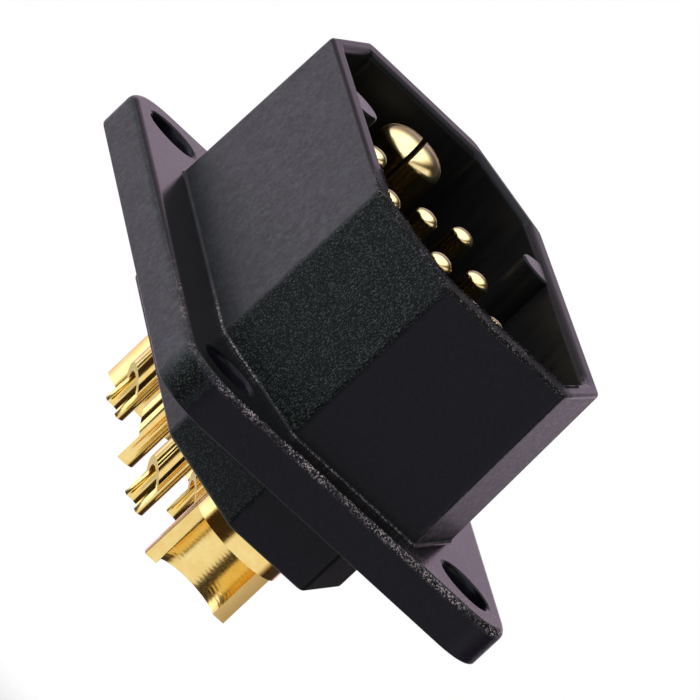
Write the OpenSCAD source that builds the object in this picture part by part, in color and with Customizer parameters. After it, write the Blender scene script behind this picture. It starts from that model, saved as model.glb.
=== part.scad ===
// Panel-mounted male battery connector: a moulded housing with two power contacts and
// eight signal contacts. +Z is the mating direction. The origin is the centre of the
// flange's rear face, X runs along the length of the housing.

/* [Main sizes] */
// Length of the flange along X
flange_l = 43; // [42:0.5:60]
// Width of the flange along Y
flange_w = 23.8; // [23:0.1:36]
// Height of the shroud in front of the flange
shroud_h = 11.3; // [9:0.1:16]

/* [Contact layout] */
// Distance along X from the outer signal column to the power contact
power_from_signal = 6.15; // [5.2:0.05:7.5]

/* [Power contacts] */
// Diameter of the power pin
power_pin_d = 4.3; // [2.8:0.1:5.2]
// Depth of the power pin's tip below the shroud's rim
power_tip_drop = 0.9; // [0.3:0.1:4]
// Edge radius of the power pin's tip
power_tip_r = 1.1; // [0.3:0.05:1.35]
// Width of the crossed slits in the power pin
power_slit_w = 0.45; // [0.2:0.05:0.8]
// Depth of the crossed slits from the tip
power_slit_l = 5.5; // [2:0.1:6.5]
// Turn of the crossed slits about the pin's axis
power_slit_turn = -17; // [-45:1:45]
// Radial step from the power pin out to its barrel and solder cup
power_barrel_step = 0.8; // [0.4:0.05:1]
// Wall of the power solder cup
power_cup_wall = 0.8; // [0.4:0.05:1.2]
// Length of the power barrel behind the boss that stays a full ring
power_ring_l = 1.4; // [0.6:0.1:2.5]
// Part of that ring which the solder cup's bore leaves solid
power_ring_floor = 0.3; // [0.1:0.05:0.5]
// Length of the power solder cup's open half
power_cup_l = 3.9; // [2:0.1:7]

/* [Signal contacts] */
// Diameter of the signal pin
signal_pin_d = 1.5; // [1.45:0.05:1.75]
// Depth of the signal pin's tip below the shroud's rim
signal_tip_drop = 1.85; // [0.3:0.05:4]
// Edge radius of the signal pin's tip
signal_tip_r = 0.7; // [0.1:0.05:0.7]
// Radial step from the signal pin out to its barrel and solder cup
signal_barrel_step = 0.25; // [0.25:0.05:0.5]
// Wall of the signal solder cup
signal_cup_wall = 0.35; // [0.2:0.05:0.5]
// Length of the signal barrel behind the boss that stays a full ring
signal_ring_l = 2.4; // [0.6:0.1:3]
// Length of the slope from the full ring down to the open half
signal_slope_l = 1.2; // [0.5:0.1:2]
// Length of the signal solder cup's open half behind the slope
signal_cup_l = 1.65; // [1:0.05:5]
// Direction that the cups at both ends of the first row open to
first_ends_angle = -72; // [-180:1:180]
// Direction that the cup in the middle of the first row opens to
first_centre_angle = -110; // [-180:1:180]
// Direction that the cups of the middle row open to
middle_row_angle = -80; // [-180:1:180]
// Direction that the cups of the last row open to
last_row_angle = 90; // [-180:1:180]

/* [Boss and shroud] */
// Wall of the boss beyond the power barrels, along X
boss_end_wall = 2.15; // [0.8:0.05:3]
// Wall of the boss beyond the signal barrels, along Y
boss_side_wall = 2.05; // [0.8:0.05:3]
// Height of the boss behind the flange
boss_h = 3.7; // [2:0.1:6]
// Step from the boss out to the shroud along its long sides and its chamfers
boss_step = 1.95; // [1.75:0.05:3]
// Step from the boss out to the shroud at its ends
boss_end_step = 1.15; // [0.8:0.05:3]
// Growth of the shroud on each side from its rim down to its foot
shroud_draft = 0.25; // [0:0.05:0.5]
// Length along X of the shroud's corner chamfers
chamfer_x = 7.1; // [6:0.1:8.2]
// Angle between the corner chamfers and the X axis
chamfer_angle = 30; // [25:1:35]
// Wall of the shroud along its long sides
side_wall = 1.1; // [0.8:0.05:1.6]
// Wall of the shroud at its ends
end_wall = 2; // [0.8:0.05:2.6]
// Wall of the shroud at its corner chamfers
corner_wall = 1; // [0.8:0.05:1.6]
// Edge fillet at the foot of the shroud
foot_fillet = 0.4; // [0.1:0.05:0.6]
// Depth of the cavity floor below the flange's front face
floor_drop = 0.5; // [0.1:0.1:1]
// Thickness of the web under the cavity floor, which stops the contacts
web_t = 1.5; // [0.8:0.1:2]

/* [Key ribs] */
// Distance of the two key ribs from the centre along X
rib_offset = 4.3; // [2.5:0.1:8]
// Radius of the half-round key ribs
rib_r = 1.5; // [0.8:0.1:1.8]
// Gap from the rim down to the top of the key ribs
rib_drop = 0.2; // [0:0.1:2]

/* [Flange] */
// Margin of the flange beyond the shroud rim at each end, along X
flange_margin_x = 2.4; // [1.7:0.1:5]
// Margin of the flange beyond the shroud rim at each side, along Y
flange_margin_y = 3.45; // [3:0.05:6]
// Thickness of the flange
flange_t = 2.5; // [1.5:0.1:4]
// Radius of the flange's corners
flange_r = 3.2; // [2:0.1:5]
// Width of the edge break around the flange's front
flange_edge = 0.4; // [0.1:0.05:0.6]
// Diameter of the four screw holes
screw_d = 3.2; // [2.2:0.1:3.8]
// Distance of the screw holes from the flange's ends, along X
screw_inset_x = 3.75; // [2.8:0.05:4.4]
// Distance of the screw holes from the flange's sides, along Y
screw_inset_y = 3.05; // [2.4:0.05:3.6]

/* [Fits] */
// Radial gap between a contact and its bore in the housing
contact_gap = 0.03; // [0.01:0.01:0.1]
// Radial step from a contact's pin out to its shank inside the web
shank_step = 0.2; // [0.18:0.01:0.22]

/* [Hidden] */
$fn = 64;

// Amount by which a cutter reaches past the solid that it cuts
over = 1;
black = [0.06, 0.06, 0.07];
gold = [0.86, 0.66, 0.24];

power_barrel_d = power_pin_d + 2 * power_barrel_step;
signal_barrel_d = signal_pin_d + 2 * signal_barrel_step;

// Outlines, each worked out from the one outside it
shroud_l = flange_l - 2 * flange_margin_x;
shroud_w = flange_w - 2 * flange_margin_y;
boss_l = shroud_l - 2 * boss_end_step;
boss_w = shroud_w - 2 * boss_step;

// Contact places: a row of three, a row of two between them, and a row of three
power_x = boss_l / 2 - boss_end_wall - power_barrel_d / 2;
signal_pitch_x = power_x - power_from_signal;
signal_pitch_y = boss_w / 2 - boss_side_wall - signal_barrel_d / 2;
outer_columns = [-1, 0, 1];
middle_columns = [-0.5, 0.5];
signal_places = concat(
  [for (c = outer_columns) [c * signal_pitch_x, -signal_pitch_y]],
  [for (c = middle_columns) [c * signal_pitch_x, 0]],
  [for (c = outer_columns) [c * signal_pitch_x, signal_pitch_y]]
);
signal_turns = concat(
  [first_ends_angle, first_centre_angle, first_ends_angle],
  [for (c = middle_columns) middle_row_angle],
  [for (c = outer_columns) last_row_angle]
);

chamfer_y = chamfer_x * tan(chamfer_angle);

// Heights
rim_z = flange_t + shroud_h;
floor_z = flange_t - floor_drop;
shoulder_z = floor_z - web_t;
power_pin_l = rim_z - power_tip_drop - floor_z;
signal_pin_l = rim_z - signal_tip_drop - floor_z;

// Octagon with length l and width w, its corners cut by cx along X and cy along Y
function octagon(l, w, cx, cy) = [
  [-l / 2 + cx, -w / 2], [l / 2 - cx, -w / 2],
  [l / 2, -w / 2 + cy], [l / 2, w / 2 - cy],
  [l / 2 - cx, w / 2], [-l / 2 + cx, w / 2],
  [-l / 2, w / 2 - cy], [-l / 2, -w / 2 + cy]
];

// The shroud's rim outline, moved outwards by grow with its chamfers kept parallel
function shroud_outline(grow) = octagon(
  shroud_l + 2 * grow,
  shroud_w + 2 * grow,
  chamfer_x + grow * (1 - tan(chamfer_angle / 2)),
  chamfer_y + grow * (1 - tan(45 - chamfer_angle / 2))
);

// The cavity's outline, each of its sides behind a wall of its own
cavity_l = shroud_l - 2 * end_wall;
cavity_w = shroud_w - 2 * side_wall;
chamfer_reach = (shroud_l / 2 - chamfer_x) * sin(chamfer_angle)
  + shroud_w / 2 * cos(chamfer_angle) - corner_wall;
cavity_cx = cavity_l / 2 - (chamfer_reach - cavity_w / 2 * cos(chamfer_angle)) / sin(chamfer_angle);
cavity_cy = cavity_w / 2 - (chamfer_reach - cavity_l / 2 * sin(chamfer_angle)) / cos(chamfer_angle);

// The boss outline: chamfers on lines set in from the shroud's, as far as its own ends
boss_cx = chamfer_x - boss_end_step + boss_step * tan(chamfer_angle / 2);
boss_cy = boss_cx * tan(chamfer_angle);

// A wall that narrows evenly from the outline grown by low to the outline grown by high
module tapered_shroud(low, high, h) {
  linear_extrude(height = h, slices = 1, $fn = 8, scale = [
    (shroud_l + 2 * high) / (shroud_l + 2 * low),
    (shroud_w + 2 * high) / (shroud_w + 2 * low)
  ]) polygon(shroud_outline(low));
}

// Rectangle with true round corners
module rounded_plate(l, w, r) {
  square([l - 2 * r, w], center = true);
  square([l, w - 2 * r], center = true);
  for (sx = [-1, 1], sy = [-1, 1])
    translate([sx * (l / 2 - r), sy * (w / 2 - r)]) circle(r);
}

// Slab with the same outline, whose sides lean inwards by its own height
module leaning_slab(l, w, r, h) {
  rotate([90, 0, 90]) linear_extrude(l - 2 * r, center = true) leaning_section(w, h);
  rotate([90, 0, 0]) linear_extrude(w - 2 * r, center = true) leaning_section(l, h);
  for (sx = [-1, 1], sy = [-1, 1])
    translate([sx * (l / 2 - r), sy * (w / 2 - r), 0]) cylinder(r1 = r, r2 = r - h, h = h);
}

module leaning_section(w, h) {
  polygon([[-w / 2, 0], [w / 2, 0], [w / 2 - h, h], [-w / 2 + h, h]]);
}

module flange() {
  linear_extrude(flange_t - flange_edge) rounded_plate(flange_l, flange_w, flange_r);
  translate([0, 0, flange_t - flange_edge])
    leaning_slab(flange_l, flange_w, flange_r, flange_edge);
}

module key_ribs() {
  rib_h = rim_z - rib_drop - floor_z;
  for (sy = [-1, 1])
    translate([-rib_offset, sy * cavity_w / 2, floor_z]) cylinder(r = rib_r, h = rib_h);
}

// Everything that is drilled through the wall behind the cavity
module contact_bores() {
  for (sx = [-1, 1])
    translate([sx * power_x, 0, 0]) stepped_bore(power_pin_d, power_barrel_d);
  for (p = signal_places)
    translate([p.x, p.y, 0]) stepped_bore(signal_pin_d, signal_barrel_d);
}

module stepped_bore(pin_d, barrel_d) {
  translate([0, 0, -boss_h - over])
    cylinder(d = barrel_d + 2 * contact_gap, h = shoulder_z + boss_h + over);
  translate([0, 0, shoulder_z - over])
    cylinder(d = pin_d + 2 * (shank_step + contact_gap), h = web_t + 2 * over);
}

module screw_holes() {
  for (sx = [-1, 1], sy = [-1, 1])
    translate([sx * (flange_l / 2 - screw_inset_x), sy * (flange_w / 2 - screw_inset_y), -over])
      cylinder(d = screw_d, h = flange_t + 2 * over);
}

module housing() {
  color(black) difference() {
    union() {
      translate([0, 0, -boss_h]) linear_extrude(boss_h)
        polygon(octagon(boss_l, boss_w, boss_cx, boss_cy));
      flange();
      translate([0, 0, flange_t]) tapered_shroud(shroud_draft, 0, shroud_h);
      translate([0, 0, flange_t]) tapered_shroud(shroud_draft + foot_fillet, shroud_draft, foot_fillet);
    }
    difference() {
      translate([0, 0, floor_z]) linear_extrude(rim_z - floor_z + over)
        polygon(octagon(cavity_l, cavity_w, cavity_cx, cavity_cy));
      key_ribs();
    }
    contact_bores();
    screw_holes();
  }
}

// Round pin that stands on the cavity floor, with its tip's edge rounded
module round_pin(d, l, tip_r) {
  translate([0, 0, floor_z]) rotate_extrude() {
    square([d / 2, l - tip_r]);
    square([d / 2 - tip_r, l]);
    translate([d / 2 - tip_r, l - tip_r]) intersection() {
      circle(tip_r);
      square(tip_r);
    }
  }
  translate([0, 0, shoulder_z]) cylinder(r = d / 2 + shank_step, h = web_t);
}

// Two crossed slits that leave four springy leaves
module crossed_slits() {
  tip_z = floor_z + power_pin_l;
  for (a = [0, 90])
    rotate([0, 0, power_slit_turn + a])
      translate([-power_pin_d, -power_slit_w / 2, tip_z - power_slit_l])
        cube([2 * power_pin_d, power_slit_w, power_slit_l + over]);
}

module power_contact(side) {
  cup_end_z = -boss_h - power_ring_l - power_cup_l;
  cup_depth = power_cup_l + power_ring_l - power_ring_floor;
  color(gold) translate([side * power_x, 0, 0]) rotate([0, 0, side > 0 ? 0 : 180])
    difference() {
      union() {
        round_pin(power_pin_d, power_pin_l, power_tip_r);
        translate([0, 0, cup_end_z]) cylinder(d = power_barrel_d, h = shoulder_z - cup_end_z);
      }
      crossed_slits();
      translate([0, 0, cup_end_z - over])
        cylinder(d = power_barrel_d - 2 * power_cup_wall, h = cup_depth + over);
      translate([0, -power_barrel_d, cup_end_z - over])
        cube([power_barrel_d, 2 * power_barrel_d, power_cup_l + over]);
    }
}

module signal_contact(i) {
  place = signal_places[i - 1];
  slope_top_z = -boss_h - signal_ring_l;
  slope_foot_z = slope_top_z - signal_slope_l;
  cup_end_z = slope_foot_z - signal_cup_l;
  reach = signal_barrel_d / 2 + over;
  rise = signal_slope_l * reach / (signal_barrel_d / 2);
  color(gold) translate([place.x, place.y, 0]) rotate([0, 0, signal_turns[i - 1]])
    difference() {
      union() {
        round_pin(signal_pin_d, signal_pin_l, signal_tip_r);
        translate([0, 0, cup_end_z]) cylinder(d = signal_barrel_d, h = shoulder_z - cup_end_z);
      }
      translate([0, 0, cup_end_z - over])
        cylinder(d = signal_barrel_d - 2 * signal_cup_wall, h = slope_top_z - cup_end_z + over);
      translate([0, signal_barrel_d, 0]) rotate([90, 0, 0]) linear_extrude(2 * signal_barrel_d)
        polygon([
          [0, cup_end_z - over], [reach, cup_end_z - over],
          [reach, slope_foot_z + rise], [0, slope_foot_z]
        ]);
    }
}

housing();
power_contact(-1);  // power_contact_1
power_contact(1);  // power_contact_2
for (i = [1:len(signal_places)])
  signal_contact(i);
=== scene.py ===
# %% [markdown]
# # A battery connector for model aircraft
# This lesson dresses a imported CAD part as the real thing: a black moulded housing with a screw
# flange, and ten gold contacts whose solder cups stand out of its rear. The CAD solids give every
# place and size. Here the sharp solids are replaced by skins with rounded edges, and each finish
# is built from nodes.

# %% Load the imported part
import math

import bmesh
import bpy
from mathutils import Matrix, Vector


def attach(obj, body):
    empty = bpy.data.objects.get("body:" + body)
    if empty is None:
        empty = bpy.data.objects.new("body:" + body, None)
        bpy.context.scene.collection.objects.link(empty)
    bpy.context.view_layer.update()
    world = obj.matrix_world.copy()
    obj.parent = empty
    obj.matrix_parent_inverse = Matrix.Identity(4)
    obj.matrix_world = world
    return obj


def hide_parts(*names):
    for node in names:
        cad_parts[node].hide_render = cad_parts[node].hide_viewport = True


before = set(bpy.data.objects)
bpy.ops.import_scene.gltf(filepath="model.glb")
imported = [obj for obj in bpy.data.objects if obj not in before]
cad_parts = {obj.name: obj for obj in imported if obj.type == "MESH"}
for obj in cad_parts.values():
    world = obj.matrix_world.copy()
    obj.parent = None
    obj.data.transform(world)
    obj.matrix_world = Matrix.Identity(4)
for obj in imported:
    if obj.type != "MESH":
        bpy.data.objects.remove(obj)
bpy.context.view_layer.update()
MM = 0.001
print("CAD nodes:", sorted(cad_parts))

# %% [markdown]
# ## Camera
# The connector was photographed from its +X end with the camera rolled by about 45 degrees. The
# three directions below are the camera's own right, up and backward axes in the part's frame. They
# could also be set as Euler angles, but a matrix states the view without any order of turns.

# %% Camera at the photograph's angle
camera_right = Vector((0.106198, 0.691049, 0.714964))
camera_up = Vector((-0.370906, -0.639604, 0.673302))
camera_back = Vector((0.922578, -0.336688, 0.188389))
camera_place = Vector((379.05, -137.04, 81.36)) * MM

camera_data = bpy.data.cameras.new("photo_camera")
camera_data.lens = 388.76
camera_data.sensor_width = 36
camera_data.clip_start = 0.01
camera_data.clip_end = 10
camera = bpy.data.objects.new("photo_camera", camera_data)
camera.matrix_world = Matrix((
    (camera_right.x, camera_up.x, camera_back.x, camera_place.x),
    (camera_right.y, camera_up.y, camera_back.y, camera_place.y),
    (camera_right.z, camera_up.z, camera_back.z, camera_place.z),
    (0, 0, 0, 1),
))
bpy.context.scene.collection.objects.link(camera)
bpy.context.scene.camera = camera
print("camera stands", round(camera_place.length / MM), "mm from the origin")

# %% [markdown]
# ## Mesh helpers
# A few small helpers make all the shapes. A loft joins rings of points into a skin, and a lathe turns
# a profile about an axis. Carving cuts or joins two pieces, and softening rounds the edges and evens
# the shading. Modifiers could stay live, but a settled piece is a plain mesh that exports as it is.

# %% Loft, lathe, carve and soften
def add_object(name, bm, *materials):
    mesh = bpy.data.meshes.new(name)
    bm.to_mesh(mesh)
    bm.free()
    for material in materials:
        mesh.materials.append(material)
    piece = bpy.data.objects.new(name, mesh)
    bpy.context.scene.collection.objects.link(piece)
    return piece


def add_loft(bm, rings):
    rows = [[bm.verts.new(Vector(p) * MM) for p in ring] for ring in rings]
    for low, high in zip(rows, rows[1:]):
        for i in range(len(low)):
            j = (i + 1) % len(low)
            bm.faces.new((low[i], low[j], high[j], high[i]))
    bm.faces.new(rows[0][::-1])
    bm.faces.new(rows[-1])


def add_lathe(bm, profile, centre=(0, 0), segments=48):
    turns = [2 * math.pi * i / segments for i in range(segments)]
    add_loft(bm, [
        [(centre[0] + r * math.cos(a), centre[1] + r * math.sin(a), z) for a in turns]
        for r, z in profile
    ])


def settle(piece):
    graph = bpy.context.evaluated_depsgraph_get()
    made = bpy.data.meshes.new_from_object(
        piece.evaluated_get(graph), preserve_all_data_layers=True, depsgraph=graph)
    piece.modifiers.clear()
    piece.data = made
    return piece


def carve(piece, tool, operation="DIFFERENCE"):
    change = piece.modifiers.new("carve", "BOOLEAN")
    change.object = tool
    change.operation = operation
    change.solver = "EXACT"
    change.material_mode = "TRANSFER"
    settle(piece)
    bpy.data.objects.remove(tool)
    return piece


def soften(piece, width, segments, angle):
    if width:
        edge = piece.modifiers.new("edge", "BEVEL")
        edge.limit_method = "ANGLE"
        edge.angle_limit = math.radians(angle)
        edge.width = width * MM
        edge.segments = segments
    settle(piece)
    piece.data.set_sharp_from_angle(angle=math.radians(angle))
    for face in piece.data.polygons:
        face.use_smooth = True
    flat = piece.modifiers.new("flat", "WEIGHTED_NORMAL")
    flat.keep_sharp = True
    return settle(piece)


print("helpers ready")

# %% [markdown]
# ## Node helpers
# Every finish is a small tree of shader nodes. These helpers keep each line to one node, so that a
# reader can follow the tree from the coordinates to the shader.

# %% Shader node helpers
class Finish:
    def __init__(self, name):
        self.material = bpy.data.materials.new(name)
        self.material.use_nodes = True
        self.tree = self.material.node_tree
        self.shader = self.tree.nodes["Principled BSDF"]
        self.place = self.node("ShaderNodeTexCoord").outputs["Object"]

    def node(self, kind, **settings):
        made = self.tree.nodes.new(kind)
        for key, value in settings.items():
            setattr(made, key, value)
        return made

    def feed(self, socket, value):
        if isinstance(value, bpy.types.NodeSocket):
            self.tree.links.new(value, socket)
        else:
            socket.default_value = value

    def math(self, operation, a, b=None, clamp=False):
        made = self.node("ShaderNodeMath", operation=operation, use_clamp=clamp)
        self.feed(made.inputs[0], a)
        if b is not None:
            self.feed(made.inputs[1], b)
        return made.outputs[0]

    def times(self, first, *others):
        for value in others:
            first = self.math("MULTIPLY", first, value)
        return first

    def noise(self, size_mm, detail=2.0, roughness=0.5, stretch=None):
        made = self.node("ShaderNodeTexNoise")
        where = self.place
        if stretch:
            turn = self.node("ShaderNodeMapping")
            self.feed(turn.inputs["Vector"], where)
            turn.inputs["Scale"].default_value = stretch
            where = turn.outputs["Vector"]
        self.feed(made.inputs["Vector"], where)
        made.inputs["Scale"].default_value = 1 / (size_mm * MM)
        made.inputs["Detail"].default_value = detail
        made.inputs["Roughness"].default_value = roughness
        return made.outputs["Fac"]

    def span(self, value, low, high, to_low=0.0, to_high=1.0, smooth=False):
        made = self.node("ShaderNodeMapRange")
        if smooth:
            made.interpolation_type = "SMOOTHSTEP"
        self.feed(made.inputs["Value"], value)
        made.inputs["From Min"].default_value = low
        made.inputs["From Max"].default_value = high
        made.inputs["To Min"].default_value = to_low
        made.inputs["To Max"].default_value = to_high
        return made.outputs["Result"]

    def mix(self, factor, a, b):
        made = self.node("ShaderNodeMix", data_type="RGBA")
        self.feed(made.inputs["Factor"], factor)
        self.feed(made.inputs["A"], a if not isinstance(a, tuple) else (*a, 1))
        self.feed(made.inputs["B"], b if not isinstance(b, tuple) else (*b, 1))
        return made.outputs["Result"]

    def attribute(self, name):
        return self.node("ShaderNodeAttribute", attribute_name=name).outputs["Fac"]

    def bump(self, height, strength, distance_mm, under=None):
        made = self.node("ShaderNodeBump")
        self.feed(made.inputs["Height"], height)
        self.feed(made.inputs["Strength"], strength)
        made.inputs["Distance"].default_value = distance_mm * MM
        if under is not None:
            self.feed(made.inputs["Normal"], under)
        return made.outputs["Normal"]

    def set(self, **values):
        for key, value in values.items():
            self.feed(self.shader.inputs[key.replace("_", " ")], value)


print("node helpers ready")

# %% [markdown]
# ## Sizes
# The skins need the CAD part's own sizes, in millimetres. They are repeated here because a scene
# reads nothing but the imported frame.

# %% Sizes of the connector
flange_l, flange_w, flange_t, flange_r = 43.0, 23.8, 2.5, 3.2
shroud_l, shroud_w, rim_z = 38.2, 16.9, 13.8
chamfer_x, chamfer_angle = 7.1, math.radians(30)
chamfer_y = chamfer_x * math.tan(chamfer_angle)
draft, boss_step, boss_end_step, boss_h = 0.25, 1.95, 1.15, 3.7
side_wall, end_wall, corner_wall, floor_z, shoulder_z = 1.1, 2.0, 1.0, 2.0, 0.5
screw_d, screw_x, screw_y = 3.2, 17.75, 8.85
power_x, signal_x, signal_y = 12.85, 6.7, 3.45
gap = 0.03

# %% [markdown]
# ## Outlines
# The shroud and the boss share a cut-corner outline, and the flange is a rounded rectangle. To loft
# from one to the other, every outline is given the same 44 points, 11 to a quarter: five round each
# corner of the cut and one in its middle. The corner points lie on small arcs, so the moulding's
# upright edges are round, as a mould cutter leaves them. The blunt corners at the long sides get
# twice the radius of the sharper ones at the ends.

# %% Outline functions
QUARTERS = ((1, -1), (1, 1), (-1, 1), (-1, -1))


def corner_arc(before, corner, after, radius, steps):
    toward, away = (corner - before).normalized(), (after - corner).normalized()
    first, last = Vector((toward.y, -toward.x)), Vector((away.y, -away.x))
    middle = corner - (first + last) * (radius / (1 + first.dot(last)))
    start, sweep = math.atan2(first.y, first.x), first.angle_signed(last)
    turns = [start - sweep * k / (steps - 1) for k in range(steps)]
    return [middle + Vector((math.cos(a), math.sin(a))) * radius for a in turns]


def cut_outline(l, w, cx, cy, radius):
    corners = []
    for sx, sy in QUARTERS:
        pair = [Vector((sx * (l / 2 - cx), sy * w / 2)), Vector((sx * l / 2, sy * (w / 2 - cy)))]
        corners += pair if sx * sy < 0 else pair[::-1]
    points = []
    for i, corner in enumerate(corners):
        blunt = 2 if i % 4 in (0, 3) else 1
        points += corner_arc(corners[i - 1], corner, corners[(i + 1) % 8], blunt * radius, 5)
        if i % 2 == 0:
            points.append((corner + corners[i + 1]) / 2)
    return points


def shroud_outline(grow, radius):
    return cut_outline(
        shroud_l + 2 * grow, shroud_w + 2 * grow,
        chamfer_x + grow * (1 - math.tan(chamfer_angle / 2)),
        chamfer_y + grow * (1 - math.tan(math.pi / 4 - chamfer_angle / 2)), radius)


def boss_outline(grow, radius):
    cx = chamfer_x - boss_end_step + boss_step * math.tan(chamfer_angle / 2)
    cy = cx * math.tan(chamfer_angle)
    return cut_outline(
        shroud_l - 2 * boss_end_step + 2 * grow, shroud_w - 2 * boss_step + 2 * grow,
        cx + grow * (1 - math.tan(chamfer_angle / 2)),
        cy + grow * (1 - math.tan(math.pi / 4 - chamfer_angle / 2)), radius)


def cavity_outline(shrink, radius):
    l, w = shroud_l - 2 * end_wall, shroud_w - 2 * side_wall
    reach = ((shroud_l / 2 - chamfer_x) * math.sin(chamfer_angle)
             + shroud_w / 2 * math.cos(chamfer_angle) - corner_wall - shrink)
    l, w = l - 2 * shrink, w - 2 * shrink
    cx = l / 2 - (reach - w / 2 * math.cos(chamfer_angle)) / math.sin(chamfer_angle)
    cy = w / 2 - (reach - l / 2 * math.sin(chamfer_angle)) / math.cos(chamfer_angle)
    return cut_outline(l, w, cx, cy, radius)


def flange_outline(shrink):
    points, r = [], flange_r - shrink
    for k, (sx, sy) in enumerate(QUARTERS):
        middle = Vector((sx * (flange_l / 2 - flange_r), sy * (flange_w / 2 - flange_r)))
        for step in range(11):
            a = math.radians(-90 + 90 * k + 9 * step)
            points.append(middle + Vector((math.cos(a), math.sin(a))) * r)
    return points


print("points in each outline:", len(shroud_outline(0, 0.4)), len(flange_outline(0)))

# %% [markdown]
# ## Housing skin
# The housing is glass-filled nylon from one mould: boss, flange and shroud in a row, hollow from
# the front. A bevel over the CAD solid could round it, but then every edge gets the same radius.
# Lofting lets each edge have its own: a worn edge round the flange, a crisp rim, soft feet.

# %% Loft the housing
def at_height(points, z):
    return [(p.x, p.y, z) for p in points]


def quarter_turn(steps):
    return [(math.sin(math.pi / 2 * k / steps), math.cos(math.pi / 2 * k / steps))
            for k in range(steps + 1)]


upright, rear_round, rear_fillet = 0.55, 0.3, 0.15
flange_back, flange_front, foot, rim_out, rim_in, floor_fillet = 0.15, 0.5, 0.2, 0.22, 0.45, 0.3
rings = []
for s, c in quarter_turn(4):
    rings.append(at_height(
        boss_outline(-rear_round * (1 - s), upright), -boss_h + rear_round * (1 - c)))
for s, c in quarter_turn(3):
    rings.append(at_height(
        boss_outline(rear_fillet * (1 - c), upright), -rear_fillet * (1 - s)))
for s, c in quarter_turn(3):
    rings.append(at_height(flange_outline(flange_back * (1 - s)), flange_back * (1 - c)))
for s, c in quarter_turn(4):
    rings.append(at_height(
        flange_outline(flange_front * (1 - c)), flange_t - flange_front * (1 - s)))
for s, c in quarter_turn(4):
    rings.append(at_height(
        shroud_outline(draft + foot * (1 - s), upright), flange_t + foot * (1 - c)))
for s, c in quarter_turn(3):
    rings.append(at_height(shroud_outline(-rim_out * (1 - c), upright), rim_z - rim_out * (1 - s)))
for s, c in quarter_turn(4):
    rings.append(at_height(cavity_outline(-rim_in * (1 - s), upright), rim_z - rim_in * (1 - c)))
for s, c in quarter_turn(3):
    rings.append(at_height(
        cavity_outline(floor_fillet * (1 - c), upright), floor_z + floor_fillet * (1 - s)))
bm = bmesh.new()
add_loft(bm, rings)
housing_skin = add_object("housing_skin", bm)
print("housing skin:", len(rings), "rings,", len(housing_skin.data.polygons), "faces")

# %% [markdown]
# ## Screw holes and bores
# The mould's pins leave four screw holes and ten stepped bores for the contacts. A hole could be
# bevelled after it is cut, but the bevel would also catch the edges round it. So each hole is turned
# on the lathe helper with its rounded lip, and then cut.

# %% Cut the holes
hole_lip = 0.3
lip_r = screw_d / 2 + hole_lip
hole_profile = [(lip_r, -1), (lip_r, -0.001)]
for s, c in quarter_turn(3):
    hole_profile.append((screw_d / 2 + hole_lip * (1 - s), hole_lip * (1 - c)))
for s, c in quarter_turn(3):
    hole_profile.append((screw_d / 2 + hole_lip * (1 - c), flange_t - hole_lip * (1 - s)))
hole_profile += [(lip_r, flange_t + 0.001), (lip_r, flange_t + 1)]

signal_places = [(c * signal_x, -signal_y) for c in (-1, 0, 1)]
signal_places += [(c * signal_x, 0.0) for c in (-0.5, 0.5)]
signal_places += [(c * signal_x, signal_y) for c in (-1, 0, 1)]
signal_barrel_r, signal_shank_r = 1.0, 0.95
power_barrel_r, power_shank_r = 2.95, 2.35


def bore_profile(barrel_r, shank_r):
    return [(barrel_r + gap, -boss_h - 1), (barrel_r + gap, shoulder_z),
            (shank_r + gap, shoulder_z), (shank_r + gap, floor_z + 1)]


bm = bmesh.new()
for sx, sy in QUARTERS:
    add_lathe(bm, hole_profile, (sx * screw_x, sy * screw_y))
for side in (-1, 1):
    add_lathe(bm, bore_profile(power_barrel_r, power_shank_r), (side * power_x, 0))
for place in signal_places:
    add_lathe(bm, bore_profile(signal_barrel_r, signal_shank_r), place, 32)
carve(housing_skin, add_object("hole_cutters", bm))
print("housing with holes:", len(housing_skin.data.polygons), "faces")

# %% [markdown]
# ## Key ribs
# Two half-round ribs inside the long walls let the plug in only one way round. Each is a turned post
# that stands in the wall and is trimmed to it before it is joined. The flat faces then get their
# exact normals, because long thin triangles beside the holes would shade unevenly.

# %% Join the ribs
rib_r, rib_offset, rib_top, rib_round = 1.5, 4.3, rim_z - 0.2, 0.15
rib_profile = [(rib_r, floor_z - 0.2)]
for s, c in quarter_turn(4):
    rib_profile.append((rib_r - rib_round * (1 - c), rib_top - rib_round * (1 - s)))
wall_y = shroud_w / 2 - side_wall
bm = bmesh.new()
for side in (-1, 1):
    add_lathe(bm, rib_profile, (-rib_offset, side * wall_y), 40)
ribs = add_object("key_ribs", bm)
trim_x, trim_y = 20, wall_y + 0.5
bm = bmesh.new()
add_loft(bm, [[(-trim_x, -trim_y, z), (trim_x, -trim_y, z), (trim_x, trim_y, z), (-trim_x, trim_y, z)]
              for z in (0, 20)])
carve(ribs, add_object("rib_trim", bm), "INTERSECT")
carve(housing_skin, ribs, "UNION")
soften(housing_skin, width=0, segments=0, angle=33)
normals = [Vector(corner.vector) for corner in housing_skin.data.corner_normals]
for face in housing_skin.data.polygons:
    if abs(face.normal.z) > 0.9999:
        for i in face.loop_indices:
            normals[i] = face.normal.copy()
housing_skin.data.normals_split_custom_set(normals)
print("housing with ribs:", len(housing_skin.data.polygons), "faces")

# %% [markdown]
# ## Spark texture by face
# The mould's cheeks were not finished alike: the cut corners of one side carry a coarse spark-eroded
# grain, the long sides a finer one, and the ends are nearly smooth. A painted picture could hold
# this, but it would need unwrapping. A face attribute says how coarse each face is, and the
# plastic's nodes read it. The boss's far side gets zero, which the nodes take as dull.

# %% Grain attribute
DULL, LEVEL, END, CUT, SIDE = 0.0, 0.05, 0.12, 0.3, 0.4


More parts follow.
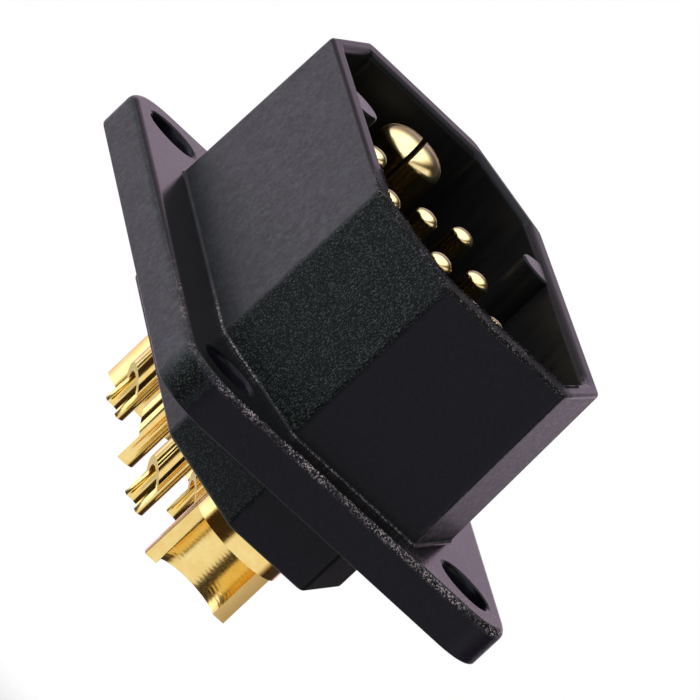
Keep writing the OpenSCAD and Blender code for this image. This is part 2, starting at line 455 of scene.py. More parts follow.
def grain_of(face):
    n, at = face.normal, face.center
    from_hole = math.hypot(abs(at.x) - screw_x * MM, abs(at.y) - screw_y * MM)
    if at.z < 0 and n.y > 0.3:
        return DULL
    if abs(n.z) > 0.6 or at.z > (rim_z - rim_in) * MM:
        return LEVEL
    if abs(n.x) > 0.93 or from_hole < 0.6 * screw_d * MM:
        return END
    if abs(n.y) > 0.97:
        return SIDE
    if n.y < 0 and abs(n.z) < 0.2:
        return min(1.0, END + 2.0 * max(0.0, -n.y - 0.3))
    return SIDE if abs(n.y) > 0.66 else CUT


grain = housing_skin.data.attributes.new("grain", "FLOAT", "FACE")
for face, value in zip(housing_skin.data.polygons, grain.data):
    value.value = grain_of(face)
print("coarse faces:", sum(v.value > 0.9 for v in grain.data))

# %% [markdown]
# ## Black moulded plastic
# The nylon is a deep blue-black with a matt sheen that turns lilac grey where it is seen at a low
# angle. Its finish is built in steps, each of them a mask made from places and noise. Noise in the
# part's own millimetres needs no unwrapping and has no seams. First comes the spark grain. Its edge
# at the near cut corner wanders a little, so a wobble is added to X before the mask is made.

# %% Plastic grain
plastic = Finish("housing_plastic")
coarse = plastic.noise(0.075, 2.0, 0.6, (1, 1, 0.6))
fine = plastic.noise(0.07, detail=2.0)
axes = plastic.node("ShaderNodeSeparateXYZ")
plastic.feed(axes.inputs[0], plastic.place)


def along(axis, low, high, *to, smooth=False):
    return plastic.span(axes.outputs[axis], low * MM, high * MM, *to, smooth=smooth)


wobble = plastic.math("SUBTRACT", plastic.noise(0.2, 3.0, 0.7), 0.5)
wobbly_x = plastic.math("ADD", axes.outputs["X"], plastic.times(wobble, 1.2 * MM))
past_corner = plastic.span(wobbly_x, 11.4 * MM, 12.5 * MM)
on_wall = plastic.times(along("Z", flange_t, flange_t + 0.2), along("Y", -5.0, -5.4))
grain_here = plastic.attribute("grain")
cut_here = plastic.times(past_corner, on_wall, plastic.span(grain_here, 0.15, 0.3))
how_coarse = plastic.math("MAXIMUM", grain_here, cut_here)
print("grain nodes:", len(plastic.tree.nodes))

# %% [markdown]
# ## Scuffs and a painted foot highlight
# Handling has rubbed the flange's front edge at the +X end to a pale speckle. A few specks lie strewn
# about the screw hole there. A thin line of pale specks along the shroud's foot is a painted
# highlight on the foot's rounding. The mask is the distance to the flange's own rounded outline, so
# the scuffs follow the edge exactly. A Voronoi texture gives each small cell its own chance of being
# a speck.

# %% Scuff and foot highlight masks
def past_straight(axis, length):
    size = plastic.math("ABSOLUTE", axes.outputs[axis])
    return plastic.math("SUBTRACT", size, (length / 2 - flange_r) * MM)


from_x, from_y = past_straight("X", flange_l), past_straight("Y", flange_w)
out_x, out_y = (plastic.math("MAXIMUM", value, 0.0) for value in (from_x, from_y))
squares = plastic.math("ADD", plastic.times(out_x, out_x), plastic.times(out_y, out_y))
outside = plastic.math("SQRT", squares)
inside = plastic.math("MINIMUM", plastic.math("MAXIMUM", from_x, from_y), 0.0)
edge_in = plastic.math("SUBTRACT", flange_r * MM, plastic.math("ADD", outside, inside))

cells = plastic.node("ShaderNodeTexVoronoi")
cells.inputs["Scale"].default_value = 1 / (0.075 * MM)
plastic.feed(cells.inputs["Vector"], plastic.place)
chance = plastic.node("ShaderNodeSeparateColor")
plastic.feed(chance.inputs["Color"], cells.outputs["Color"])
specks = plastic.span(chance.outputs["Red"], 0.55, 0.97)

near_end = along("X", 3, 12, smooth=True)
near_edge = plastic.times(plastic.span(edge_in, 0.38 * MM, 0.22 * MM, smooth=True),
                          along("Z", flange_t - 0.5, flange_t - 0.2, smooth=True))
patches = plastic.span(plastic.noise(1.6, 2.0), 0.4, 0.62)
rubbed = plastic.times(near_edge, plastic.math("ADD", patches, 0.25),
                       along("Y", -10.5, -8, 0.3, 1.0))
strewn = plastic.times(plastic.span(edge_in, 1.9 * MM, 0.3 * MM, 0.0, 0.35),
                       along("Z", flange_t - 0.12, flange_t - 0.05),
                       along("X", 15, 19), along("Y", 2.5, 5))
scuff = plastic.times(plastic.math("MAXIMUM", rubbed, strewn), near_end)
scuff = plastic.math("MULTIPLY", scuff, specks, clamp=True)
# Painted highlight: pale specks in a thin line on the shroud's foot rounding.
foot_highlight = plastic.times(along("Z", flange_t + 0.02, flange_t + 0.06),
                        along("Z", flange_t + 0.18, flange_t + 0.1), near_end, specks)
print("grain and scuff nodes:", len(plastic.tree.nodes))

# %% [markdown]
# ## Mottle with painted foot shade, torn rim with painted sheen, and dusty cut
# The long sides are mottled by the way the melt cooled, in noise of three sizes. The mottle fades
# toward the shroud's foot, which paints shade there, next to the flange. The near rim was torn when
# the mould opened, and its pale flecks are partly torn plastic and partly painted sheen. The far cut
# corner at the +X end looks dusty and turns dull at its foot. Each could be a material of its own,
# but masks in one material let them fade into each other.

# %% Face masks
# Painted glints: bright specks in the base colour of the coarse grain.
painted_glints = plastic.times(plastic.span(coarse, 0.52, 0.66), plastic.span(how_coarse, 0.3, 1.0))
is_side = plastic.times(plastic.span(how_coarse, 0.3, 0.4, 0.1, 1.0),
                        plastic.span(how_coarse, 0.45, 0.9, 1.0, 0.0))
mottle = plastic.times(plastic.span(plastic.noise(0.16, 3.0, 0.75), 0.45, 0.64), 0.6)
for size, top, weight in ((0.4, 0.66, 0.4), (0.9, 0.68, 0.2)):
    larger = plastic.span(plastic.noise(size, 3.0, 0.6), 0.42, top, 0.0, weight)
    mottle = plastic.math("ADD", mottle, larger)
# Painted shade: the mottle fades to 0.3 at the shroud's foot, so the sides turn darker there.
foot_shade_fade = along("Z", flange_t + 0.1, flange_t + 3.5, 0.3, 1.0)
below_foot = along("Z", flange_t, flange_t - 0.1)
mottle = plastic.times(mottle, plastic.math("MAXIMUM", foot_shade_fade, below_foot), is_side)

torn = plastic.times(along("Z", rim_z - 0.3, rim_z - 0.12), along("X", 7, 12, smooth=True),
                     along("Y", 5.2, 4.2, smooth=True))
# Pale flecks on the near rim: partly torn plastic, partly painted sheen on the rim's rounded edge.
torn_and_sheen_flecks = plastic.times(torn, plastic.span(plastic.noise(0.1, 3.0, 0.75), 0.56, 0.63),
                            plastic.span(plastic.noise(1.1, 1.0), 0.42, 0.58, 0.25, 1.0))

far_corner = plastic.times(along("X", 10.5, 11.5), along("Y", 4.3, 4.7))
far_foot = plastic.times(along("Z", flange_t + 0.02, flange_t + 0.06),
                         along("Z", flange_t + 0.5, flange_t + 0.15), far_corner)
far_cut = plastic.times(far_corner, along("Z", flange_t + 0.1, flange_t + 0.4))
dust = plastic.span(plastic.noise(0.26, 4.0, 0.8, (0.5, 0.5, 1)), 0.44, 0.66)
print("nodes with all masks:", len(plastic.tree.nodes))

# %% [markdown]
# ## Colours, gloss and relief of the plastic
# The colours are laid over each other from the plain faces up to the pale scuffs, each through its
# mask. Some layers are wear and dust. Others are painted light: a darker base on level faces as
# painted shade, painted glints on the coarse grain, a painted highlight line at the foot and painted
# sheen in the rim's flecks. Roughness is a sum in the same way. The relief is two bumps, pits over
# the whole skin and the spark grain over them.

# %% Plastic colours
flat = plastic.mix(plastic.span(plastic.noise(0.25, 4.0, 0.7), 0.35, 0.65),
                   (0.0054, 0.0047, 0.0096), (0.0098, 0.0087, 0.0150))
flat = plastic.mix(plastic.span(plastic.noise(0.06, 1.0), 0.75, 0.80), flat, (0.06, 0.055, 0.06))
# Painted shade: level faces get a darker, neutral base colour.
flat = plastic.mix(plastic.span(grain_here, 0.10, 0.06), flat, (0.0034, 0.0033, 0.0034))
side = plastic.mix(mottle, (0.0020, 0.0030, 0.0036), (0.047, 0.054, 0.057))
colour = plastic.mix(is_side, flat, side)
layers = (
    (plastic.span(how_coarse, 0.4, 1.0), (0.0016, 0.0021, 0.0021)),
    (painted_glints, (0.058, 0.074, 0.068)),
    (scuff, (0.62, 0.53, 0.545)),
    (foot_highlight, (0.36, 0.31, 0.32)),
    (torn_and_sheen_flecks, (0.40, 0.34, 0.355)),
    (plastic.times(dust, far_cut), (0.125, 0.105, 0.122)),
)
for mask, tint in layers:
    colour = plastic.mix(mask, colour, tint)
plastic.set(Base_Color=colour, Specular_IOR_Level=0.12)
print("colour layers:", len(layers))

# %% Plastic gloss and relief
dimming = plastic.math("MAXIMUM", plastic.span(grain_here, 0.03, 0.01), far_foot)
rough = plastic.span(fine, 0.3, 0.7, 0.17, 0.24)
rougher = (
    plastic.span(how_coarse, 0.0, 0.5, 0.0, 0.2),
    plastic.times(torn, 0.5),
    plastic.times(dimming, 0.6),
    plastic.times(far_cut, along("Z", flange_t, rim_z, 0.08, 0.0)),
    along("Z", rim_z - 0.15, rim_z - 0.05, 0.0, 0.12),
)
for amount in rougher:
    rough = plastic.math("ADD", rough, amount)
plastic.set(Roughness=rough)
pits = plastic.bump(fine, plastic.math("ADD", plastic.times(torn, 0.7), 0.2), 0.03)
depth = plastic.span(how_coarse, 0.0, 1.0, 0.03, 0.6)
plastic.set(Normal=plastic.bump(coarse, depth, 0.04, pits))
print("plastic nodes:", len(plastic.tree.nodes))

# %% [markdown]
# ## Cavity finish
# The cavity was cored by polished steel. It is smoother than the outside, with faint marks along Z
# where the core was drawn out. Its base colour is painted darker than the outside's, as painted shade
# in the deep hollow. It gets a material of its own, because nothing fades from one to the other: the
# rim parts them.

# %% Cavity plastic
cavity = Finish("cavity_plastic_painted_shade")
draw_marks = cavity.noise(0.5, 3.0, 0.6, (1, 1, 0.15))
drawn = cavity.span(draw_marks, 0.3, 0.7)
# Painted shade: the cavity's base colour is darker than the outside's.
cavity.set(Base_Color=cavity.mix(drawn, (0.0035, 0.0033, 0.0035), (0.006, 0.0058, 0.006)))
cavity.set(Roughness=cavity.span(draw_marks, 0.3, 0.7, 0.30, 0.40), Specular_IOR_Level=0.12)
cavity.set(Normal=cavity.bump(cavity.noise(0.1), 0.1, 0.02))
print("cavity nodes:", len(cavity.tree.nodes))

# %% [markdown]
# ## Which face gets which finish
# The housing skin is one mesh with two material slots. A face lies in the cavity if its centre does
# and it looks inward or up. Choosing faces by hand would break as soon as a size changes.

# %% Put the finishes on the housing
cavity_x, cavity_y = 17.6, 7.4


def in_cavity(face):
    p, n = face.center / MM, face.normal
    inward = n.x * p.x < -0.01 or n.y * p.y < -0.01 or n.z > 0.5
    within = abs(p.x) < cavity_x and abs(p.y) < cavity_y
    return within and floor_z - 0.1 < p.z < rib_top - 0.1 and inward


housing_skin.data.materials.clear()
for finish in (plastic, cavity):
    housing_skin.data.materials.append(finish.material)
for face in housing_skin.data.polygons:
    face.material_index = int(in_cavity(face))
print("faces in the cavity:", sum(f.material_index for f in housing_skin.data.polygons))

# %% [markdown]
# ## Gold finishes
# The contacts are turned brass, plated with gold. Barrels and pins keep fine turning rings, and the
# sawn faces of the cups are satin, with painted shade that darkens them toward +Y. The drilled power
# troughs hold coarser drill rings, and the pins' round tips get a paler copy of the gold, a painted
# highlight, with a soft shine. Four materials could be built one by one, but one recipe makes all
# four, each with its own ring pitch and roughness.

# %% Gold finishes
def gold_finish(name, colour, rough, ring_mm, ring_height, ring_blur, dimming=0.0):
    gold = Finish(name)
    rings = gold.node("ShaderNodeTexWave", wave_type="BANDS", bands_direction="Z")
    gold.feed(rings.inputs["Vector"], gold.place)
    rings.inputs["Scale"].default_value = 2 * math.pi / (20 * ring_mm * MM)
    rings.inputs["Distortion"].default_value = ring_blur
    rings.inputs["Detail"].default_value = 2.0
    rings.inputs["Detail Scale"].default_value = 1.5
    stains = gold.noise(0.9, 3.0, 0.6)
    grit = gold.noise(0.12, 2.0)
    darker = tuple(c * k for c, k in zip(colour, (0.93, 0.86, 0.7)))
    plated = gold.mix(gold.span(stains, 0.35, 0.7), colour, darker)
    axes = gold.node("ShaderNodeSeparateXYZ")
    gold.feed(axes.inputs[0], gold.place)
    # Painted shade: the colour turns dark brown toward +Y by the given amount. Only the sawn faces
    # get it.
    painted_shade_toward_y = gold.span(axes.outputs["Y"], 0.5 * MM, 3.2 * MM, 0.0, dimming, smooth=True)
    gold.set(Base_Color=gold.mix(painted_shade_toward_y, plated, (0.36, 0.21, 0.075)), Metallic=1.0)
    gold.set(Roughness=gold.span(grit, 0.3, 0.7, rough - 0.03, rough + 0.04))
    skin = gold.bump(grit, 0.05, 0.02)
    gold.set(Normal=gold.bump(rings.outputs["Fac"], ring_height, 0.02, skin))
    return gold.material


gold_colour = (0.93, 0.72, 0.30)
gold_turned = gold_finish("gold_turned", gold_colour, rough=0.11, ring_mm=0.11,
                          ring_height=0.03, ring_blur=1.0)
# The sawn faces get painted shade toward +Y.
gold_sawn = gold_finish("gold_sawn", gold_colour, rough=0.30, ring_mm=0.35,
                        ring_height=0.03, ring_blur=6.0, dimming=0.85)
gold_trough = gold_finish("gold_trough", gold_colour, rough=0.20, ring_mm=0.24,
                          ring_height=0.16, ring_blur=2.5)
# The tips get a paler copy of the gold: a painted highlight.
gold_tip_highlight = gold_finish("gold_tip_highlight", (0.95, 0.80, 0.44), rough=0.20, ring_mm=0.30,
                       ring_height=0.01, ring_blur=1.0)
print("gold finishes:", gold_turned.name, gold_sawn.name, gold_trough.name, gold_tip_highlight.name)

# %% [markdown]
# ## Signal contact
# A thin round pin, a shank in the wall and a barrel whose end is drilled and half sawn away to make
# a solder cup. The saw ran out on a slope. The contact could be modelled face by face, but turning,
# drilling and sawing it in that order gives the same edges as the real lathe. One contact is made
# here, standing on the Z axis with its cup open to +X.

# %% Make one signal contact
def contact_profile(pin_r, tip_z, dome_r, dome_h, shank_r, barrel_r, end_z):
    profile = [(barrel_r, end_z), (barrel_r, shoulder_z), (shank_r, shoulder_z), (shank_r, floor_z),
               (pin_r, floor_z)]
    profile += [(pin_r - dome_r * (1 - c), tip_z - dome_h * (1 - s)) for s, c in quarter_turn(8)]
    return profile


def saw_out(piece, section, half_width):
    bm = bmesh.new()
    add_loft(bm, [[(x, y, z) for x, z in section] for y in (half_width, -half_width)])
    bmesh.ops.recalc_face_normals(bm, faces=bm.faces)
    carve(piece, add_object("saw", bm, gold_sawn))


def drill_cup(piece, radius, depth_z, end_z, finish):
    bm = bmesh.new()
    add_lathe(bm, [(radius, end_z - 1), (radius, depth_z), (0.05, depth_z + 0.25 * radius)])
    carve(piece, add_object("drill", bm, finish))


signal_pin_r, signal_cup_r, signal_tip, signal_dome_r, signal_dome_h = 0.75, 0.65, 11.95, 0.7, 0.5
signal_end, slope_top, slope_foot = -8.95, -6.1, -7.3
bm = bmesh.new()
add_lathe(bm, contact_profile(signal_pin_r, signal_tip, signal_dome_r, signal_dome_h,
                              signal_shank_r, signal_barrel_r, signal_end))
signal_contact = add_object("signal_contact", bm, gold_turned)
drill_cup(signal_contact, signal_cup_r, slope_top, signal_end, gold_turned)
saw_x = 2
slope_end = slope_foot + (slope_top - slope_foot) * saw_x
saw_out(signal_contact, [(0, signal_end - 1), (saw_x, signal_end - 1), (saw_x, slope_end),
                         (0, slope_foot)], half_width=2)
soften(signal_contact, width=0.11, segments=3, angle=40)
print("one signal contact:", len(signal_contact.data.polygons), "faces,",
      [m.name for m in signal_contact.data.materials])

# %% [markdown]
# ## Power contact
# The power pin is slit twice across its axis, which leaves four springy leaves under a round tip.
# Its cup is a plain half tube behind a short full ring. The same helpers make it, and two thin
# blades cut the slits, as a slitting saw does.

# %% Make one power contact
power_pin_r, power_cup_r, power_tip, power_dome_r, power_dome_h = 2.15, 2.15, 12.9, 1.8, 1.2
power_end, power_ring_z, power_cup_z = -9.0, -5.1, -4.0
bm = bmesh.new()
add_lathe(bm, contact_profile(power_pin_r, power_tip, power_dome_r, power_dome_h,
                              power_shank_r, power_barrel_r, power_end), segments=72)
power_contact = add_object("power_contact", bm, gold_turned)
drill_cup(power_contact, power_cup_r, power_cup_z, power_end, gold_trough)
saw_out(power_contact, [(0, power_end - 1), (4, power_end - 1), (4, power_ring_z),
                        (0, power_ring_z)], half_width=4)

slit_w, slit_foot, slit_turn, blade = 0.32, 7.4, math.radians(-17), 4
for turn in (slit_turn, slit_turn + math.pi / 2):
    length = Vector((math.cos(turn), math.sin(turn)))
    width = Vector((-math.sin(turn), math.cos(turn)))
    corners = [length * a * blade + width * b * slit_w / 2
               for a, b in ((-1, -1), (1, -1), (1, 1), (-1, 1))]
    bm = bmesh.new()
    add_loft(bm, [at_height(corners, slit_foot), at_height(corners, 15)])
    carve(power_contact, add_object("slit", bm, gold_turned))
soften(power_contact, width=0.13, segments=3, angle=40)
print("one power contact:", len(power_contact.data.polygons), "faces")

# %% [markdown]
# ## Set out the contacts
# Ten copies could be placed by hand, but a Geometry Nodes tree states the rule: one contact on
# every point, turned by the point's own angle. The tree realizes its instances and gives each face
# the finish that its number names, so the result is one plain mesh.

# %% Contact tree
def new_tree(name):
    tree = bpy.data.node_groups.new(name, "GeometryNodeTree")
    tree.is_modifier = True
    tree.interface.new_socket("Geometry", in_out="INPUT", socket_type="NodeSocketGeometry")
    tree.interface.new_socket("Geometry", in_out="OUTPUT", socket_type="NodeSocketGeometry")
    return tree


def tree_input(tree, name, kind):
    return tree.interface.new_socket(name, in_out="INPUT", socket_type=kind).identifier


contact_tree = new_tree("contacts_on_points")
contact_in = tree_input(contact_tree, "Contact", "NodeSocketObject")
FINISHES = ("Turned", "Trough", "Sawn", "Tip_highlight")
finish_in = [tree_input(contact_tree, n, "NodeSocketMaterial") for n in FINISHES]
nodes, links = contact_tree.nodes, contact_tree.links
given = nodes.new("NodeGroupInput")
shape = nodes.new("GeometryNodeObjectInfo")
links.new(given.outputs["Contact"], shape.inputs["Object"])
turn = nodes.new("GeometryNodeInputNamedAttribute")
turn.data_type = "FLOAT"
turn.inputs["Name"].default_value = "turn"
spin = nodes.new("ShaderNodeCombineXYZ")
links.new(turn.outputs["Attribute"], spin.inputs["Z"])
placed = nodes.new("GeometryNodeInstanceOnPoints")
links.new(given.outputs["Geometry"], placed.inputs["Points"])
links.new(shape.outputs["Geometry"], placed.inputs["Instance"])
links.new(spin.outputs["Vector"], placed.inputs["Rotation"])
real = nodes.new("GeometryNodeRealizeInstances")
links.new(placed.outputs["Instances"], real.inputs["Geometry"])
number = nodes.new("GeometryNodeInputNamedAttribute")
number.data_type = "INT"
number.inputs["Name"].default_value = "finish"
last = real.outputs["Geometry"]
for index, name in enumerate(FINISHES):
    is_this = nodes.new("FunctionNodeCompare")
    is_this.data_type, is_this.operation = "INT", "EQUAL"
    links.new(number.outputs["Attribute"], is_this.inputs["A"])
    is_this.inputs["B"].default_value = index
    coat = nodes.new("GeometryNodeSetMaterial")
    links.new(last, coat.inputs["Geometry"])
    links.new(is_this.outputs["Result"], coat.inputs["Selection"])
    links.new(given.outputs[name], coat.inputs["Material"])
    last = coat.outputs["Geometry"]
result = nodes.new("NodeGroupOutput")
links.new(last, result.inputs["Geometry"])
print("contact tree:", len(nodes), "nodes")

# %% [markdown]
# ## Places and turns
# The solder cups of the real part don't all open the same way: each row was pressed in at its own
# angle. The points of a small mesh carry these angles as an attribute. Faces above a pin's dome foot
# get the tips' paler gold, a painted highlight.

# %% Place the contacts
def set_out(name, contact, places, turns, tip_foot):
    finishes = [gold_turned, gold_trough, gold_sawn, gold_tip_highlight]
    number = contact.data.attributes.new("finish", "INT", "FACE")
    for face, value in zip(contact.data.polygons, number.data):
        own = finishes.index(contact.data.materials[face.material_index])
        value.value = finishes.index(gold_tip_highlight) if face.center.z > tip_foot * MM else own
    mesh = bpy.data.meshes.new(name)
    mesh.from_pydata([(x * MM, y * MM, 0) for x, y in places], [], [])
    angle = mesh.attributes.new("turn", "FLOAT", "POINT")
    for value, degrees in zip(angle.data, turns):
        value.value = math.radians(degrees)
    piece = bpy.data.objects.new(name, mesh)
    bpy.context.scene.collection.objects.link(piece)
    rule = piece.modifiers.new("contacts", "NODES")
    rule.node_group = contact_tree
    rule[contact_in] = contact
    for identifier, finish in zip(finish_in, finishes):
        rule[identifier] = finish
    settle(piece)
    bpy.data.objects.remove(contact)
    return piece


signal_turns, power_turns = [-72, -110, -72, -80, -80, 90, 90, 90], [180, 0]
signal_contacts = set_out("signal_contacts", signal_contact, signal_places, signal_turns,
                          signal_tip - signal_dome_h)
power_contacts = set_out("power_contacts", power_contact, [(-power_x, 0), (power_x, 0)],
                         power_turns, power_tip - power_dome_h)
for piece in (signal_contacts, power_contacts):
    print(piece.name, len(piece.data.polygons), "faces", [m.name for m in piece.data.materials])

# %% [markdown]
# ## Flash on the rim
# Where the two halves of the mould meet, a little plastic squeezes out along the inner edge of the
# rim and tears into flecks. They could be painted, but they stand up and break the rim's outline. A
# Geometry Nodes tree walks along that edge and sets small chips on it, with a fixed seed for their
# sizes and turns.

# %% Flash tree
flash_tree = new_tree("flash_on_edge")
spacing_in = tree_input(flash_tree, "Spacing", "NodeSocketFloat")
size_in = tree_input(flash_tree, "Size", "NodeSocketFloat")
seed_in = tree_input(flash_tree, "Seed", "NodeSocketInt")
plastic_in = tree_input(flash_tree, "Plastic", "NodeSocketMaterial")
nodes, links = flash_tree.nodes, flash_tree.links
given = nodes.new("NodeGroupInput")
edge = nodes.new("GeometryNodeMeshToCurve")
links.new(given.outputs["Geometry"], edge.inputs["Mesh"])
steps = nodes.new("GeometryNodeResampleCurve")
steps.mode = "LENGTH"
links.new(edge.outputs["Curve"], steps.inputs["Curve"])
links.new(given.outputs["Spacing"], steps.inputs["Length"])
chip = nodes.new("GeometryNodeMeshIcoSphere")
chip.inputs["Subdivisions"].default_value = 1
links.new(given.outputs["Size"], chip.inputs["Radius"])
stretch = nodes.new("FunctionNodeRandomValue")
stretch.data_type = "FLOAT_VECTOR"
stretch.inputs["Min"].default_value = (0.15, 0.15, 0.15)
stretch.inputs["Max"].default_value = (1.5, 1.0, 1.2)
links.new(given.outputs["Seed"], stretch.inputs["Seed"])
tumble = nodes.new("FunctionNodeRandomValue")
tumble.data_type = "FLOAT_VECTOR"
tumble.inputs["Max"].default_value = (6.28, 6.28, 6.28)
links.new(given.outputs["Seed"], tumble.inputs["Seed"])
chips = nodes.new("GeometryNodeInstanceOnPoints")
links.new(steps.outputs["Curve"], chips.inputs["Points"])
links.new(chip.outputs["Mesh"], chips.inputs["Instance"])
links.new(tumble.outputs["Value"], chips.inputs["Rotation"])
links.new(stretch.outputs["Value"], chips.inputs["Scale"])
real = nodes.new("GeometryNodeRealizeInstances")
links.new(chips.outputs["Instances"], real.inputs["Geometry"])
coat = nodes.new("GeometryNodeSetMaterial")
links.new(real.outputs["Geometry"], coat.inputs["Geometry"])
links.new(given.outputs["Plastic"], coat.inputs["Material"])
result = nodes.new("NodeGroupOutput")
links.new(coat.outputs["Geometry"], result.inputs["Geometry"])
print("flash tree:", len(nodes), "nodes")

# %% [markdown]
# ## Where the flash runs
# Only the rim at the +X end is torn, with a few millimetres of the near long side. So the tree gets
# the first points of the cavity's outline as a line of edges, and one more point before them.

# %% Set flash on the rim
flash_in, torn_points, lead = 0.8 * rim_in, 17, 4
edge_points = cavity_outline(-flash_in, upright)[:torn_points]
edge_points.insert(0, edge_points[0] - Vector((lead, 0)))
mesh = bpy.data.meshes.new("rim_flash")
mesh.from_pydata([(p.x * MM, p.y * MM, (rim_z - 0.02) * MM) for p in edge_points],
                 [(i, i + 1) for i in range(len(edge_points) - 1)], [])
rim_flash = bpy.data.objects.new("rim_flash", mesh)
bpy.context.scene.collection.objects.link(rim_flash)
rule = rim_flash.modifiers.new("flash", "NODES")
rule.node_group = flash_tree
rule[spacing_in] = 0.07 * MM
rule[size_in] = 0.11 * MM
rule[seed_in] = 7
# The chips take the cavity's darker plastic, so they carry its painted shade.
rule[plastic_in] = cavity.material
settle(rim_flash)
print("rim flash:", len(rim_flash.data.polygons), "faces")

# %% [markdown]
# ## Light and background
# The object hangs in a white studio, and the camera sees a plain white world. A picture of a room
# could light it, but a few soft bands of direction are easier to steer. The bands lie along the
# camera's own axes at the photograph's angle and stay fixed in the room.

# %% World helpers
world = bpy.data.worlds.new("studio")
bpy.context.scene.world = world
world.use_nodes = True
nodes, links = world.node_tree.nodes, world.node_tree.links
nodes.clear()
direction = nodes.new("ShaderNodeTexCoord").outputs["Generated"]


def facing(axis):
    made = nodes.new("ShaderNodeVectorMath")
    made.operation = "DOT_PRODUCT"
    links.new(direction, made.inputs[0])
    made.inputs[1].default_value = axis
    return made.outputs["Value"]


def band(value, low, high):
    made = nodes.new("ShaderNodeMapRange")
    made.interpolation_type = "SMOOTHSTEP"
    links.new(value, made.inputs["Value"])
    made.inputs["From Min"].default_value = low
    made.inputs["From Max"].default_value = high
    return made.outputs["Result"]


def combine(operation, a, b):
    made = nodes.new("ShaderNodeMath")
    made.operation = operation
    for socket, value in zip(made.inputs, (a, b)):
        if isinstance(value, bpy.types.NodeSocket):
            links.new(value, socket)
        else:
            socket.default_value = value
    return made.outputs[0]


above, ahead, right = facing(camera_up), facing(camera_back), facing(camera_right)
print("directions of the room:", len(nodes) - 1)

# %% [markdown]
# ## The room in the reflections
# Shiny metal shows what stood round the table: a bright ceiling, a pale table in front, and dark gaps
# between them. Behind the part stands a lilac grey wall, which only faces seen at a low angle
# reflect. The front half of the room is warm, so the gold has deep tones, and the rear half is cool.

# %% Room for glossy rays
behind = band(ahead, -0.3, -0.7)
dark_corner = combine("MULTIPLY", band(right, -0.25, -0.45), band(ahead, -0.05, 0.2))
ceiling = band(combine("ADD", above, combine("MULTIPLY", ahead, 0.2)), 0.05, 0.4)
ceiling = combine("MULTIPLY", ceiling, combine("SUBTRACT", 1.0, dark_corner))
back_wall = band(ahead, -0.82, -0.95)
table = combine("MULTIPLY", band(above, -0.05, -0.2), band(ahead, -0.3, 0.1))
ceiling = combine("MULTIPLY", ceiling, combine("SUBTRACT", 1.5, combine("MULTIPLY", behind, 0.42)))
no_card = combine("MULTIPLY", behind, combine("SUBTRACT", 1.0, band(right, -0.2, -0.55)))
ceiling = combine("MULTIPLY", ceiling, combine("SUBTRACT", 1.0, combine("MULTIPLY", no_card, 0.8)))
gloss_level = combine("ADD", ceiling, combine("MULTIPLY", table, 0.95))
gloss_level = combine("ADD", gloss_level, 0.035)

room = nodes.new("ShaderNodeCombineColor")
tints = {"Red": (1.0, 1.05, 1.02), "Green": (1.2, 0.92, 0.79), "Blue": (1.5, 1.07, 1.01)}
for channel, (curve, lilac, wall) in tints.items():
    warm = combine("POWER", gloss_level, curve)
    warm = combine("MULTIPLY", warm, combine("SUBTRACT", 1.0, behind))
    cool = combine("MULTIPLY", combine("MULTIPLY", gloss_level, lilac), behind)
    cool = combine("ADD", cool, combine("MULTIPLY", back_wall, wall))
    links.new(combine("ADD", warm, cool), room.inputs[channel])
print("room nodes:", len(nodes))

# %% [markdown]
# ## White for the camera
# Glossy rays see the room, and all other rays see plain white. Matt surfaces would be too pale in
# full white, so diffuse rays get about a third of it, and a lamp adds the rest.

# %% Background
path = nodes.new("ShaderNodeLightPath")
plain = nodes.new("ShaderNodeMix")
plain.data_type = "RGBA"
links.new(path.outputs["Is Glossy Ray"], plain.inputs["Factor"])
plain.inputs["A"].default_value = (1, 1, 1, 1)
links.new(room.outputs["Color"], plain.inputs["B"])
glow = nodes.new("ShaderNodeBackground")
links.new(plain.outputs["Result"], glow.inputs["Color"])
softer = combine("MULTIPLY", path.outputs["Is Diffuse Ray"], 0.65)
links.new(combine("SUBTRACT", 1.0, softer), glow.inputs["Strength"])
links.new(glow.outputs[0], nodes.new("ShaderNodeOutputWorld").inputs[0])
print("world nodes:", len(nodes))

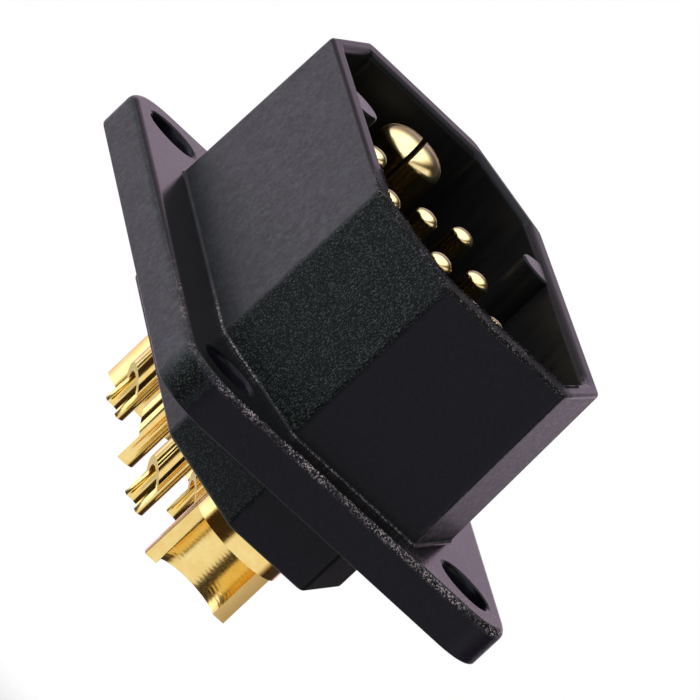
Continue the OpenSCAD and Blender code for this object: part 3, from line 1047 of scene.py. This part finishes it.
# %% [markdown]
# ## Lamp
# One broad soft lamp hangs above the part, as the camera sees it. A sun would throw hard shadows.
# It is hidden from glossy rays, because the room already holds every reflection.

# %% Soft lamp
def soft_lamp(name, toward, distance, size, power, gloss):
    data = bpy.data.lights.new(name, "AREA")
    data.size = size
    data.energy = power
    lamp = bpy.data.objects.new(name, data)
    lamp.location = Vector((0, 0, 3 * MM)) + toward.normalized() * distance
    lamp.rotation_euler = toward.to_track_quat("Z", "Y").to_euler()
    lamp.visible_glossy = gloss
    lamp.visible_camera = False
    bpy.context.scene.collection.objects.link(lamp)
    return lamp


lamp_side = camera_up + camera_right * -0.2 + camera_back * 0.15
key_lamp = soft_lamp("key_lamp", lamp_side, distance=0.4, size=0.25, power=1.3, gloss=False)
print("key lamp at", [round(v, 3) for v in key_lamp.location])

# %% [markdown]
# ## Floor
# A small pale disc lies under the part. A wide plane would show a horizon. The disc is far enough
# below that its shadow stays out of the photograph's frame, and it fades out at its edge, so that it
# meets the white without a line.

# %% Floor
floor_r, fade_from, floor_drop = 0.075, 0.05, 0.04
floor_paint = Finish("pale_floor")
away = floor_paint.node("ShaderNodeVectorMath", operation="LENGTH")
floor_paint.feed(away.inputs[0], floor_paint.place)
floor_paint.set(Base_Color=(0.86, 0.86, 0.85, 1), Roughness=0.8)
fade = floor_paint.span(away.outputs["Value"], fade_from, floor_r, 1.0, 0.0, smooth=True)
floor_paint.set(Alpha=fade)
bm = bmesh.new()
bmesh.ops.create_circle(bm, cap_ends=True, segments=96, radius=floor_r)
floor = add_object("floor", bm, floor_paint.material)
floor.location.z = -floor_drop
print("floor at", round(floor.location.z, 3), "m")

# %% [markdown]
# ## Hand over to the frame
# Each piece rides on the part's one body and stands for the CAD nodes that it covers. The flash
# replaces no node, because the CAD has none for it.

# %% Ride, replace and finish
for piece in (housing_skin, signal_contacts, power_contacts, rim_flash):
    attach(piece, "root")
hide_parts("housing")
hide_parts(*[f"signal_contact_{i}" for i in range(1, 9)])
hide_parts("power_contact_1", "power_contact_2")

bpy.context.scene.view_settings.view_transform = "Standard"
